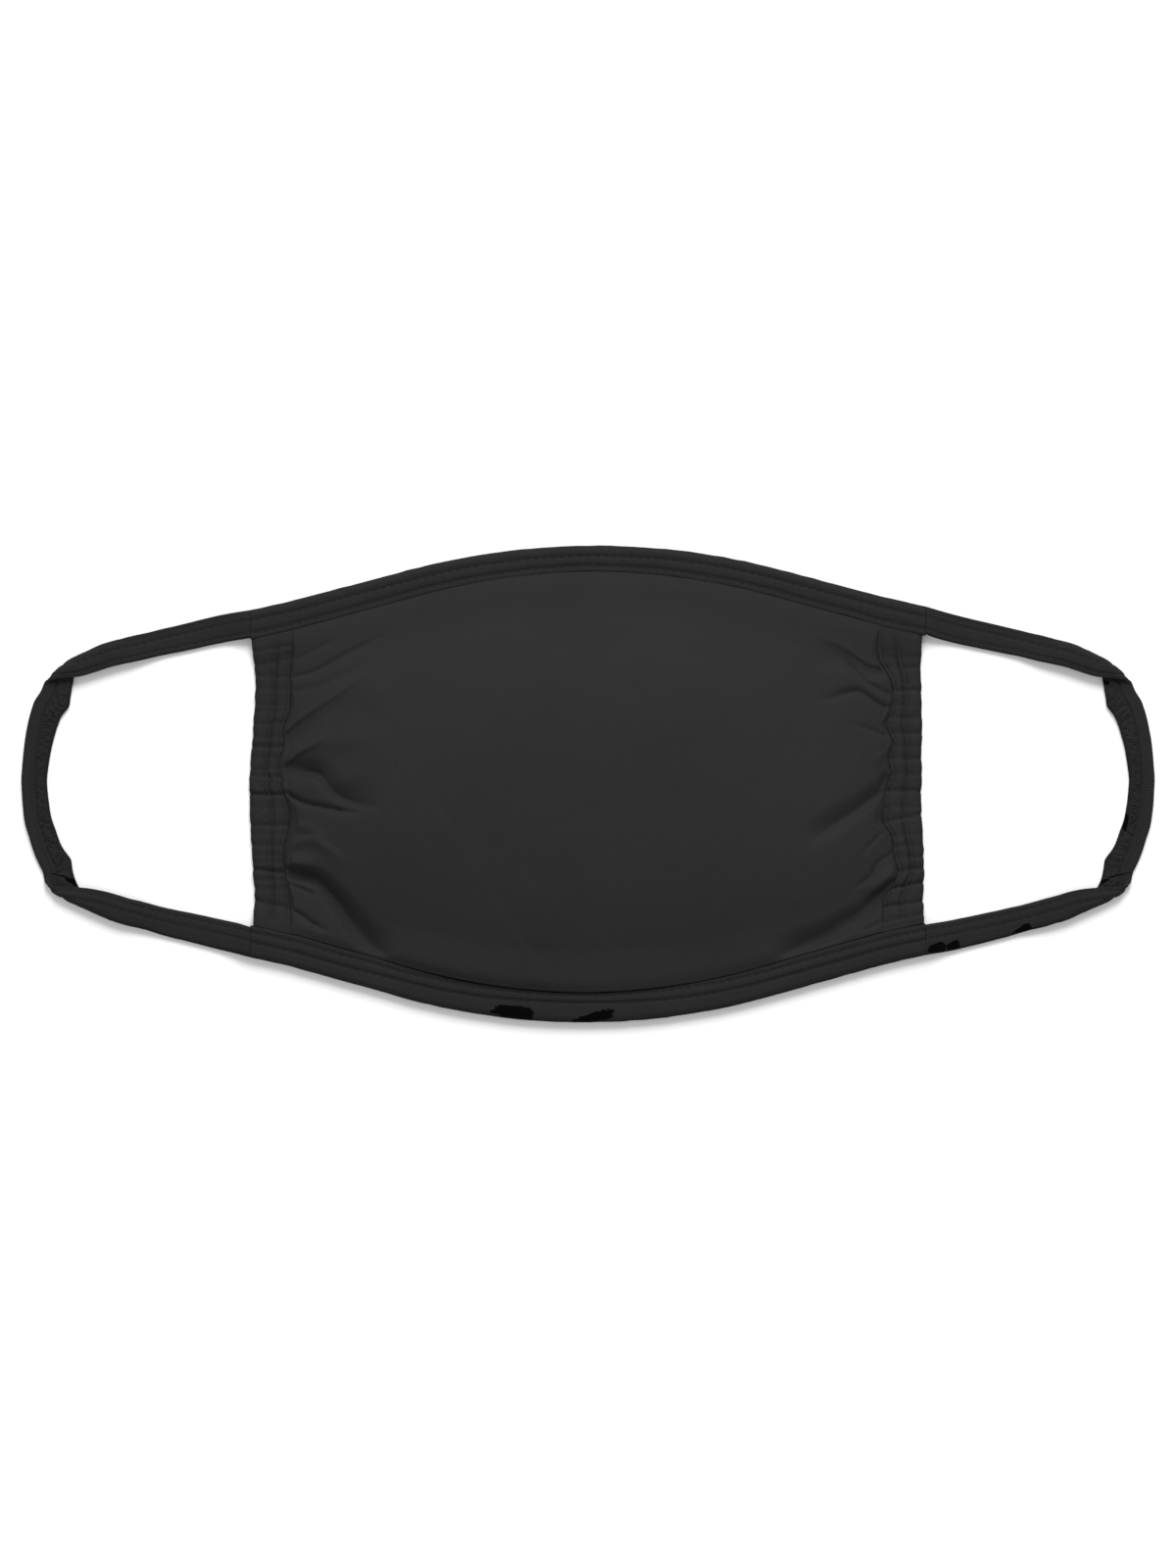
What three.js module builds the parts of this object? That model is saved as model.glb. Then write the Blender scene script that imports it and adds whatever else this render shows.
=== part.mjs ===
// Cloth face mask, laid flat with its front face up.
// Millimetres. X runs across the mask, Y from the chin edge to the nose edge, and Z up from
// the surface that it lies on. The origin is on that surface, under the middle of the mask.

import * as THREE from 'three';
import { mergeVertices } from 'three/addons/utils/BufferGeometryUtils.js';

// Outline of the body: an arc over the crown, a straight shoulder on its tangent, and a
// flatter run along the hem, which the strap carries on
const bodyHalfHeight = 74.1;
const bodyHalfWidth = 104.8;
const hemWidth = 12.8;
const seamX = bodyHalfWidth - hemWidth;
const shoulderX = 57.4;
const hemSlope = 0.225;

// The two long edges of the body: the side of the X axis that each lies on, where its crown
// is, and how wide the binding's flaps are
const noseEdge = { side: 1, crownX: 2.2, crownRadius: 225, flapAtCorner: 8.7, flapAtMiddle: 7.8 };
const chinEdge = { side: -1, crownX: -1.2, crownRadius: 212, flapAtCorner: 9.5, flapAtMiddle: 8.8 };

// Cloth
const clearance = 0.3;
const panelCloth = 1.6;
const bindingCloth = 0.9;
const hemCloth = 2.4;
const strapCloth = 1.8;

// Binding: a strip folded over the panel's edge, one flap above it and one below
const bindingHeight = panelCloth + 2 * bindingCloth + 2 * clearance;
const bindingRoll = (bindingHeight - bindingCloth) / 2;
const channelMiddle = bindingHeight / 2;
const squareEndReach = 10;

// Panel
const edgeInset = bindingRoll + 0.9;
const sideRest = 1.2;
const crownHeight = 13;
const crownShift = -0.1;
const lipGap = 0.6;
const lipRows = 2;

// Strap of the ear loop
const strapRoll = strapCloth / 2 + 0.15;

// Cell counts of each sheet
const panelCells = { across: 40, along: 26 };
const hemCells = { across: 3, along: 30 };
const bindingCells = { across: 26, along: 8 };
const strapCells = { across: 40, along: 6 };

// Folds that the gathered sides throw into the panel: from the hem (x, y) to where each one
// fades (toX, toY), with the depth at the hem and the width of the groove
const panelFolds = [
  { x: -92, y: 33, toX: -61, toY: 48, depth: 1.0, width: 4 },
  { x: -92, y: 16, toX: -68, toY: 34, depth: 1.8, width: 6 },
  { x: -92, y: 5, toX: -65, toY: -8, depth: 2.6, width: 6 },
  { x: -92, y: -28, toX: -68, toY: -48, depth: 2.6, width: 6 },
  { x: 92, y: 36, toX: 70, toY: 46, depth: 1.2, width: 5 },
  { x: 92, y: 25, toX: 70, toY: 26, depth: 1.4, width: 5 },
  { x: 92, y: 0, toX: 67, toY: -17, depth: 2.4, width: 6 },
  { x: 92, y: -34, toX: 72, toY: -48, depth: 2.6, width: 6 },
];

// Outer edge of each hem: how far out it lies at each height
const hemEdge = {
  left: [
    { y: -54, reach: 104.3 },
    { y: -34, reach: 103.3 },
    { y: -16, reach: 104.5 },
    { y: -2, reach: 105.0 },
    { y: 18, reach: 103.8 },
    { y: 32, reach: 103.2 },
    { y: 54, reach: 104.4 },
  ],
  right: [
    { y: -54, reach: 104.2 },
    { y: -28, reach: 104.2 },
    { y: -10, reach: 103.4 },
    { y: 20, reach: 103.5 },
    { y: 36, reach: 103.2 },
    { y: 54, reach: 103.8 },
  ],
};

// Puckers across each hem: the height and the depth of each
const hemPuckers = {
  left: [
    { y: 33, depth: 0.3 },
    { y: 19, depth: 0.3 },
    { y: 3, depth: 0.5 },
    { y: -4, depth: 0.5 },
    { y: -16, depth: 0.3 },
    { y: -27, depth: 0.5 },
    { y: -37, depth: 0.3 },
  ],
  right: [
    { y: 20, depth: 0.3 },
    { y: 7, depth: 0.3 },
    { y: -2, depth: 0.4 },
    { y: -11, depth: 0.3 },
    { y: -22, depth: 0.3 },
    { y: -31, depth: 0.5 },
    { y: -41, depth: 0.3 },
  ],
};
const puckerWidth = 3;

// Ear loop, from the nose corner round to the chin corner. x and y are on its outer edge.
// aim is the way across the strap, in degrees from straight inward. fold is the share of the
// width that is on the front, and the rest is turned under: above 1 or below 0 the strap is
// flat. lift is 0 where the front layer lies on the surface, and 1 where a layer is under it.
const strapStations = [
  { x: 105.1, y: 54.5, aim: 90, width: 8.9, fold: 1.2, lift: 0 },
  { x: 114.5, y: 52.5, aim: 77, width: 8.6, fold: 1.2, lift: 0 },
  { x: 129.8, y: 48.8, aim: 76, width: 8.2, fold: 1.2, lift: 0 },
  { x: 137.4, y: 46.9, aim: 74, width: 7.9, fold: 1.15, lift: 0.3 },
  { x: 145.0, y: 44.5, aim: 71, width: 7.9, fold: 1.0, lift: 0.8 },
  { x: 152.7, y: 41.7, aim: 65, width: 8.5, fold: 0.84, lift: 1 },
  { x: 160.2, y: 38.0, aim: 57, width: 9.4, fold: 0.64, lift: 1 },
  { x: 163.9, y: 35.4, aim: 49, width: 10.0, fold: 0.45, lift: 1 },
  { x: 167.9, y: 31.8, aim: 41, width: 10.2, fold: 0.18, lift: 1 },
  { x: 170.1, y: 29.0, aim: 34, width: 10.0, fold: 0.03, lift: 1 },
  { x: 172.5, y: 24.8, aim: 26, width: 9.6, fold: -0.1, lift: 1 },
  { x: 174.3, y: 18.8, aim: 16, width: 9.1, fold: -0.2, lift: 1 },
  { x: 175.6, y: 10.0, aim: 8, width: 8.4, fold: -0.2, lift: 1 },
  { x: 176.2, y: 0.5, aim: 0, width: 8.0, fold: -0.2, lift: 1 },
  { x: 175.4, y: -10.5, aim: -9, width: 8.4, fold: -0.2, lift: 1 },
  { x: 173.7, y: -16.9, aim: -16, width: 8.6, fold: -0.2, lift: 1 },
  { x: 171.8, y: -22.6, aim: -23, width: 8.8, fold: -0.15, lift: 1 },
  { x: 169.5, y: -27.4, aim: -31, width: 9.5, fold: -0.03, lift: 1 },
  { x: 167.0, y: -32.0, aim: -41, width: 10.8, fold: 0.2, lift: 1 },
  { x: 162.1, y: -35.2, aim: -50, width: 10.4, fold: 0.45, lift: 1 },
  { x: 156.3, y: -37.8, aim: -59, width: 9.4, fold: 0.7, lift: 1 },
  { x: 150.6, y: -40.5, aim: -66, width: 8.8, fold: 0.88, lift: 1 },
  { x: 144.0, y: -43.2, aim: -71, width: 8.3, fold: 1.02, lift: 0.8 },
  { x: 137.4, y: -45.4, aim: -73, width: 8.2, fold: 1.15, lift: 0.3 },
  { x: 129.8, y: -47.7, aim: -75, width: 8.7, fold: 1.2, lift: 0 },
  { x: 114.5, y: -51.5, aim: -77, width: 9.3, fold: 1.2, lift: 0 },
  { x: 105.1, y: -53.6, aim: -90, width: 9.8, fold: 1.2, lift: 0 },
];

function fabric(color) {
  return new THREE.MeshStandardMaterial({ color, roughness: 0.95, metalness: 0 });
}

// Distance of a long edge from the X axis
function edgeY(edge, x) {
  const reach = Math.abs(x - edge.crownX);
  const shoulder = Math.min(reach, shoulderX);
  const hemReach = seamX - edge.crownX * Math.sign(x - edge.crownX);
  const crown = Math.sqrt(edge.crownRadius ** 2 - shoulder ** 2);
  const straight = Math.max(0, Math.min(reach, hemReach) - shoulderX) * shoulder / crown;
  const hem = Math.max(0, reach - hemReach) * hemSlope;
  return bodyHalfHeight - edge.crownRadius + crown - straight - hem;
}

// Angle between a long edge and the X axis
function edgeLean(edge, x) {
  const step = 0.5;
  return Math.atan((edgeY(edge, x - step) - edgeY(edge, x + step)) / (2 * step));
}

function flapWidth(edge, x) {
  return THREE.MathUtils.lerp(edge.flapAtMiddle, edge.flapAtCorner, Math.abs(x) / bodyHalfWidth);
}

// Distance from the X axis at which the panel's cloth leaves the channel between the flaps
function lipY(edge, x) {
  return edgeY(edge, x) - flapWidth(edge, x) / Math.cos(edgeLean(edge, x)) - lipGap;
}

function nearEdge(y) {
  return y > 0 ? noseEdge : chinEdge;
}

// Value of one column of a table at a place, eased between its rows
function readTable(table, key, column, place) {
  const next = table.findIndex((row) => row[key] >= place);
  if (next === 0) return table[0][column];
  if (next === -1) return table[table.length - 1][column];
  const before = table[next - 1];
  const after = table[next];
  const share = THREE.MathUtils.smoothstep(place, before[key], after[key]);
  return THREE.MathUtils.lerp(before[column], after[column], share);
}

// Closed sheet made from a flat box of cells: place gives the point for each position along
// (0 to 1), across (0 to 1) and through (-0.5 at the back to 0.5 at the front) the sheet
function curvedSheet(cells, place) {
  const box = new THREE.BoxGeometry(1, 1, 1, cells.across, cells.along, 1);
  box.deleteAttribute('normal');
  box.deleteAttribute('uv');
  const sheet = mergeVertices(box);
  const corners = sheet.getAttribute('position');
  for (let i = 0; i < corners.count; i += 1) {
    const point = place(corners.getX(i) + 0.5, corners.getY(i) + 0.5, corners.getZ(i));
    corners.setXYZ(i, point.x, point.y, point.z);
  }
  turnFacesOut(sheet);
  sheet.computeVertexNormals();
  return sheet;
}

// Swaps two corners of every triangle where a closed mesh encloses a negative volume
function turnFacesOut(sheet) {
  const corners = sheet.getAttribute('position');
  const index = sheet.getIndex();
  const a = new THREE.Vector3();
  const b = new THREE.Vector3();
  const c = new THREE.Vector3();
  let volume = 0;
  for (let i = 0; i < index.count; i += 3) {
    a.fromBufferAttribute(corners, index.getX(i));
    b.fromBufferAttribute(corners, index.getX(i + 1));
    c.fromBufferAttribute(corners, index.getX(i + 2));
    volume += a.dot(b.cross(c));
  }
  if (volume > 0) return;
  for (let i = 0; i < index.count; i += 3) {
    const second = index.getX(i + 1);
    index.setX(i + 1, index.getX(i + 2));
    index.setX(i + 2, second);
  }
}

// Depth of the panel's folds at a point
function foldDepth(x, y) {
  let depth = 0;
  for (const fold of panelFolds) {
    const start = new THREE.Vector2(fold.x, fold.y);
    const run = new THREE.Vector2(fold.toX, fold.toY).sub(start);
    const offset = new THREE.Vector2(x, y).sub(start);
    const along = offset.dot(run) / run.lengthSq();
    const aside = Math.abs(offset.cross(run)) / run.length();
    const fade = 1 - THREE.MathUtils.smoothstep(along, 0, 1.1);
    depth += fold.depth * fade * Math.exp(-((aside / (0.5 * fold.width)) ** 2));
  }
  return depth;
}

// Middle of the panel's cloth above the surface that the mask lies on
function panelHeight(x, y) {
  const lip = lipY(nearEdge(y), x);
  const inside = lip - Math.abs(y);
  const free = THREE.MathUtils.smoothstep(inside, 0, 8);
  const rest = THREE.MathUtils.lerp(channelMiddle, sideRest, free);
  if (inside <= 0) return rest;
  const level = y / lip;
  const shifted = level - crownShift * (1 - level ** 2);
  const rise = (1 - Math.abs(shifted) ** 2.6) ** 0.9;
  const side = (1 - Math.min(1, Math.abs(x) / seamX) ** 3) ** 0.8;
  return Math.max(sideRest, rest + crownHeight * rise * side - foldDepth(x, y) * free);
}

// Y of a row of the panel's cells, for a level from -1 to 1: the outermost rows are in the
// channel, and the others are spread between the two lips
function panelRow(x, level) {
  const lipLevel = 1 - 2 * lipRows / panelCells.along;
  const edge = nearEdge(level);
  const lip = lipY(edge, x);
  if (Math.abs(level) <= lipLevel) {
    const share = level / lipLevel;
    return lip * (1.15 * share - 0.15 * share ** 3);
  }
  const beyond = (Math.abs(level) - lipLevel) / (1 - lipLevel);
  return Math.sign(level) * THREE.MathUtils.lerp(lip, edgeY(edge, x) - edgeInset, beyond);
}

function makePanel() {
  const halfWidth = seamX - clearance / 2;
  const geometry = curvedSheet(panelCells, (across, along, through) => {
    const even = 2 * across - 1;
    const x = halfWidth * (1.25 * even - 0.25 * even ** 3);
    const y = panelRow(x, 2 * along - 1);
    return new THREE.Vector3(x, y, panelHeight(x, y) + through * panelCloth);
  });
  return new THREE.Mesh(geometry, fabric(0x2f2f2f));
}

// Hem beside the panel: doubled cloth that puckers along its rows of stitching
function makeHem(side) {
  const name = side < 0 ? 'left' : 'right';
  const inner = seamX + clearance / 2;
  const geometry = curvedSheet(hemCells, (across, along, through) => {
    const level = 2 * along - 1;
    const outer = readTable(hemEdge[name], 'y', 'reach', level * 52);
    const x = side * THREE.MathUtils.lerp(inner, outer, across);
    const edge = nearEdge(level);
    const y = level * (edgeY(edge, x) - edgeInset);
    const open = THREE.MathUtils.smoothstep(lipY(edge, x) - Math.abs(y), 0, 7);
    const cloth = THREE.MathUtils.lerp(panelCloth, hemCloth, open);
    const middle = THREE.MathUtils.lerp(channelMiddle, hemCloth / 2, open);
    let pucker = 0;
    for (const row of hemPuckers[name]) {
      pucker += row.depth * open * Math.exp(-(((y - row.y) / (0.5 * puckerWidth)) ** 2));
    }
    const front = through > 0 ? pucker : 0;
    return new THREE.Vector3(x, y, middle + through * cloth - front);
  });
  return new THREE.Mesh(geometry, fabric(0x2b2b2b));
}

// Point of a strip that is folded lengthwise round a roll. offset is the distance across the
// strip from the fold line, negative on the front. inward is 0 at the outermost place that
// the strip reaches.
function foldedStrip(offset, nearest, roll, cloth, through) {
  const quarter = roll * Math.PI / 2;
  const turn = (place) => THREE.MathUtils.clamp(place / roll, -Math.PI / 2, Math.PI / 2);
  const reach = (place) => roll - roll * Math.cos(turn(place))
    + Math.max(0, Math.abs(place) - quarter);
  const angle = turn(offset);
  return {
    inward: reach(offset) - reach(nearest) - Math.cos(angle) * through * cloth,
    height: -roll * Math.sin(angle) - Math.sin(angle) * through * cloth,
  };
}

// Binding over one long edge of the panel, square to the X axis at its ends
function makeBinding(edge) {
  const quarter = bindingRoll * Math.PI / 2;
  const geometry = curvedSheet(bindingCells, (across, along, through) => {
    const x = bodyHalfWidth * (2 * across - 1);
    const square = THREE.MathUtils.smoothstep(
      Math.abs(x), bodyHalfWidth - squareEndReach, bodyHalfWidth);
    const lean = edgeLean(edge, x) * (1 - square);
    const half = flapWidth(edge, x) - bindingRoll + quarter - bindingCloth / 2;
    const level = 2 * along - 1;
    const eased = Math.sign(level) * (0.55 * Math.abs(level) + 0.45 * level ** 2);
    const strip = foldedStrip(half * eased, 0, bindingRoll, bindingCloth, through);
    const inward = strip.inward + bindingCloth / 2;
    return new THREE.Vector3(
      x - Math.sin(lean) * inward,
      edge.side * (edgeY(edge, x) - Math.cos(lean) * inward),
      channelMiddle + strip.height);
  });
  return new THREE.Mesh(geometry, fabric(0x2a2a2a));
}

// Smooth values of every column of the strap's table at a share of the way along it
const strapRoute = new THREE.CatmullRomCurve3(
  strapStations.map((row) => new THREE.Vector3(row.x, row.y, row.lift)), false, 'centripetal');
const strapSection = new THREE.CatmullRomCurve3(
  strapStations.map((row) => new THREE.Vector3(row.aim, row.width, row.fold)), false, 'centripetal');

// Ear loop: side is 1 on the right and -1 on the left. Its ends are as high as the binding,
// and it settles to the strap's own cloth within endTaper of its table's length.
function makeEarLoop(side) {
  const endTaper = 0.06;
  const geometry = curvedSheet(strapCells, (across, along, through) => {
    const place = strapRoute.getPoint(across);
    const section = strapSection.getPoint(across);
    const lift = THREE.MathUtils.clamp(place.z, 0, 1);
    const width = section.y;
    const fold = THREE.MathUtils.clamp(section.z, -0.2, 1.2);
    const first = -fold * width;
    const last = first + width;
    const nearest = THREE.MathUtils.clamp(0, first, last);
    const split = THREE.MathUtils.clamp(0, first + 0.15 * width, last - 0.15 * width);
    const offset = along < 0.5
      ? THREE.MathUtils.lerp(first, split, 2 * along)
      : THREE.MathUtils.lerp(split, last, 2 * along - 1);
    const strip = foldedStrip(offset, nearest, strapRoll, strapCloth, through);
    const endShare = 1 - THREE.MathUtils.smoothstep(Math.min(across, 1 - across), 0, endTaper);
    const extra = (bindingHeight - strapCloth) * endShare * (through + 0.5);
    const aim = THREE.MathUtils.degToRad(section.x);
    const middle = strapCloth / 2 + strapRoll * (2 * lift - 1);
    return new THREE.Vector3(
      side * (place.x - Math.cos(aim) * strip.inward),
      place.y - Math.sin(aim) * strip.inward,
      middle + strip.height + extra);
  });
  return new THREE.Mesh(geometry, fabric(0x282828));
}

function named(name, mesh) {
  mesh.name = name;
  return mesh;
}

const mask = new THREE.Group();
mask.add(named('panel', makePanel()));
mask.add(named('side_hem_left', makeHem(-1)));
mask.add(named('side_hem_right', makeHem(1)));
mask.add(named('top_binding', makeBinding(noseEdge)));
mask.add(named('bottom_binding', makeBinding(chinEdge)));
mask.add(named('ear_loop_left', makeEarLoop(-1)));
mask.add(named('ear_loop_right', makeEarLoop(1)));

export default mask;
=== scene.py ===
# Cloth face mask lying flat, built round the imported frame.
import math

import bpy
import numpy as np
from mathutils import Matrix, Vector


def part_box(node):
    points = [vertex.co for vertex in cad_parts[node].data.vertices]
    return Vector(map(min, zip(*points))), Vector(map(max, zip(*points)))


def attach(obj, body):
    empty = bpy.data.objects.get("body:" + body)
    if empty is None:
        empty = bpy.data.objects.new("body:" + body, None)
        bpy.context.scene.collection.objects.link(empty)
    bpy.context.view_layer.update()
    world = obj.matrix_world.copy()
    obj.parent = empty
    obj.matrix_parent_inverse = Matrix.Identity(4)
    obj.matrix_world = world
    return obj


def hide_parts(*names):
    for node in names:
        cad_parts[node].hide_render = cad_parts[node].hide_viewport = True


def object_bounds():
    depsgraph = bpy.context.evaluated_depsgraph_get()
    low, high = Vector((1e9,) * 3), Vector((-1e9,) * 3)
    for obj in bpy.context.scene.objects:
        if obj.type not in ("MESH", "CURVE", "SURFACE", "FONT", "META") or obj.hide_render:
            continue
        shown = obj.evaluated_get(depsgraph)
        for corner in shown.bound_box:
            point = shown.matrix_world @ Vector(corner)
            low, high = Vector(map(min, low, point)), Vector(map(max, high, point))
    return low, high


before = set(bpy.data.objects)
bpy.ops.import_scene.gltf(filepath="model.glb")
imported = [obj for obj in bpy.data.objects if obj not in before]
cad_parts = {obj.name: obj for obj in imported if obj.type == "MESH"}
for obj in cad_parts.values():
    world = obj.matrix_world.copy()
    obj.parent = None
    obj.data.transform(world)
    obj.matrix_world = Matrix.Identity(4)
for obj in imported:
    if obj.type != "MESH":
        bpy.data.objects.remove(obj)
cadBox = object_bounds()
mm = 0.001
rng = np.random.default_rng(7)
print("frame loaded:", sorted(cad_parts))


# ---- camera

overhead = {"lens": 100, "sensor": 36, "viewHeight": 0.488}


def makeCamera(spec):
    data = bpy.data.cameras.new("overheadCamera")
    data.lens = spec["lens"]
    data.sensor_width = spec["sensor"]
    data.dof.use_dof = False
    cam = bpy.data.objects.new("overheadCamera", data)
    bpy.context.scene.collection.objects.link(cam)
    centre = (cadBox[0] + cadBox[1]) / 2
    away = spec["viewHeight"] * spec["lens"] / spec["sensor"]
    cam.location = (centre.x, centre.y, away)
    bpy.context.scene.camera = cam


makeCamera(overhead)
print("camera placed")


# ---- small helpers

def ease(low, high, x):
    t = np.clip((x - low) / (high - low), 0, 1)
    return t * t * (3 - 2 * t)


def mix(a, b, t):
    return a + (b - a) * t


# smooth random field, about -1 to 1, with bumps as wide as size
def softNoise(x, y, size, seed):
    lattice = np.random.default_rng(seed).uniform(-1, 1, (64, 64))
    u, v = np.asarray(x) / size, np.asarray(y) / size
    i, j = np.floor(u).astype(int), np.floor(v).astype(int)
    s, t = u - i, v - j
    s, t = s * s * (3 - 2 * s), t * t * (3 - 2 * t)
    a, b = lattice[i % 64, j % 64], lattice[(i + 1) % 64, j % 64]
    c, d = lattice[i % 64, (j + 1) % 64], lattice[(i + 1) % 64, (j + 1) % 64]
    return mix(mix(a, b, s), mix(c, d, s), t)


def lineNoise(place, size, seed):
    return softNoise(place, place * 0, size, seed)


# points of a table's columns, read smoothly at any place along its first column
def readTable(rows, column, place):
    rows = np.array(sorted(rows))
    keys, values = rows[:, 0], rows[:, column]
    slopes = np.gradient(values, keys)
    i = np.clip(np.searchsorted(keys, place) - 1, 0, len(keys) - 2)
    step = keys[i + 1] - keys[i]
    t = np.clip((place - keys[i]) / step, 0, 1)
    a, b = values[i], values[i + 1]
    ma, mb = slopes[i] * step, slopes[i + 1] * step
    return ((2 * t**3 - 3 * t**2 + 1) * a + (t**3 - 2 * t**2 + t) * ma
            + (3 * t**2 - 2 * t**3) * b + (t**3 - t**2) * mb)


# smooth line through a few points, with steps of about the given length
def smoothLine(points, step):
    points = np.array(points, float)
    keys = np.arange(len(points))
    rough = np.linalg.norm(np.diff(points[:, :2], axis=0), axis=1).sum()
    at = np.linspace(0, len(points) - 1, max(3, int(rough / step)))
    return np.stack([readTable(list(zip(keys, points[:, k])), 1, at) for k in range(points.shape[1])], 1)


def meshObject(name, points, faces, uv=None, material=None, flatFaces=0):
    mesh = bpy.data.meshes.new(name)
    mesh.from_pydata((np.asarray(points) * mm).tolist(), [], faces)
    if uv is not None:
        layer = mesh.uv_layers.new(name="cloth")
        loops = np.zeros(len(mesh.loops), np.int32)
        mesh.loops.foreach_get("vertex_index", loops)
        layer.uv.foreach_set("vector", np.asarray(uv, np.float32)[loops].ravel())
    smooth = len(mesh.polygons) - flatFaces  # the last ones are flat caps
    mesh.polygons.foreach_set("use_smooth", [True] * smooth + [False] * flatFaces)
    mesh.update()
    obj = bpy.data.objects.new(name, mesh)
    bpy.context.scene.collection.objects.link(obj)
    if material:
        mesh.materials.append(material)
    return obj


# closed tube of rings: rings is (rows, around, 3), and each row is one closed section
def sweptRings(name, rings, uv, material):
    rows, around = rings.shape[:2]
    points = rings.reshape(-1, 3)
    i, j = np.meshgrid(np.arange(rows - 1), np.arange(around), indexing="ij")
    k = (j + 1) % around
    here, ahead = i * around, (i + 1) * around
    quads = np.stack([here + j, here + k, ahead + k, ahead + j], -1).reshape(-1, 4)
    caps = []
    for first, turned in ((0, False), ((rows - 1) * around, True)):
        last = first + around - 1
        for step in range(around // 2 - 1):
            cap = [first + step, last - step, last - step - 1, first + step + 1]
            caps.append(cap[::-1] if turned else cap)
    faces = quads.tolist() + caps
    if enclosedVolume(points, quads) < 0:
        faces = [f[::-1] for f in faces]
    return meshObject(name, points, faces, uv.reshape(-1, 2) * mm, material, len(caps))


def enclosedVolume(points, quads):
    p = points - points.mean(0)
    a, b, c, d = (p[quads[:, n]] for n in range(4))
    return float((np.einsum("ij,ij->i", a, np.cross(b, c)) + np.einsum("ij,ij->i", a, np.cross(c, d))).sum())


# ---- the body's outline, as the frame has it

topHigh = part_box("top_binding")[1]
body = {
    "halfHeight": topHigh.y / mm,
    "halfWidth": topHigh.x / mm,
    "seamX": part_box("panel")[1].x / mm + 0.15,
    "shoulderX": 57.4,
    "hemSlope": 0.225,
    "bindingHeight": topHigh.z / mm,
}
noseEdge = {"side": 1, "crownX": 2.2, "crownRadius": 225, "flapAtCorner": 8.7, "flapAtMiddle": 7.8,
            "grooveDepth": 0.28}
chinEdge = {"side": -1, "crownX": -1.2, "crownRadius": 212, "flapAtCorner": 9.5, "flapAtMiddle": 8.8,
            "grooveDepth": 0.38}


# distance of a long edge from the X axis
def edgeY(edge, x):
    reach = np.abs(x - edge["crownX"])
    shoulder = np.minimum(reach, body["shoulderX"])
    hemReach = body["seamX"] - edge["crownX"] * np.sign(x - edge["crownX"])
    crown = np.sqrt(edge["crownRadius"] ** 2 - shoulder**2)
    straight = np.maximum(0, np.minimum(reach, hemReach) - body["shoulderX"]) * shoulder / crown
    hem = np.maximum(0, reach - hemReach) * body["hemSlope"]
    return body["halfHeight"] - edge["crownRadius"] + crown - straight - hem


def edgeLean(edge, x):
    return np.arctan((edgeY(edge, x - 3) - edgeY(edge, x + 3)) / 6)


def flapWidth(edge, x):
    return mix(edge["flapAtMiddle"], edge["flapAtCorner"], np.abs(x) / body["halfWidth"])


# ---- materials

def linkNodes(tree, *pairs):
    for a, b in pairs:
        tree.links.new(a, b)


def newGroup(name, inputs, outputs):
    group = bpy.data.node_groups.new(name, "ShaderNodeTree")
    for label, kind, value in inputs:
        socket = group.interface.new_socket(label, in_out="INPUT", socket_type=kind)
        if value is not None:
            socket.default_value = value
    for label, kind in outputs:
        group.interface.new_socket(label, in_out="OUTPUT", socket_type=kind)
    return group, group.nodes.new("NodeGroupInput"), group.nodes.new("NodeGroupOutput")


def calc(tree, operation, a, b=None, c=None):
    node = tree.nodes.new("ShaderNodeMath")
    node.operation = operation
    for socket, value in zip(node.inputs, (a, b, c)):
        if value is None:
            continue
        if isinstance(value, (int, float)):
            socket.default_value = value
        else:
            tree.links.new(value, socket)
    return node.outputs[0]


def scaledToMm(tree, vector):
    node = tree.nodes.new("ShaderNodeVectorMath")
    node.operation = "SCALE"
    node.inputs["Scale"].default_value = 1000
    tree.links.new(vector, node.inputs[0])
    return node.outputs[0]


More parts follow.
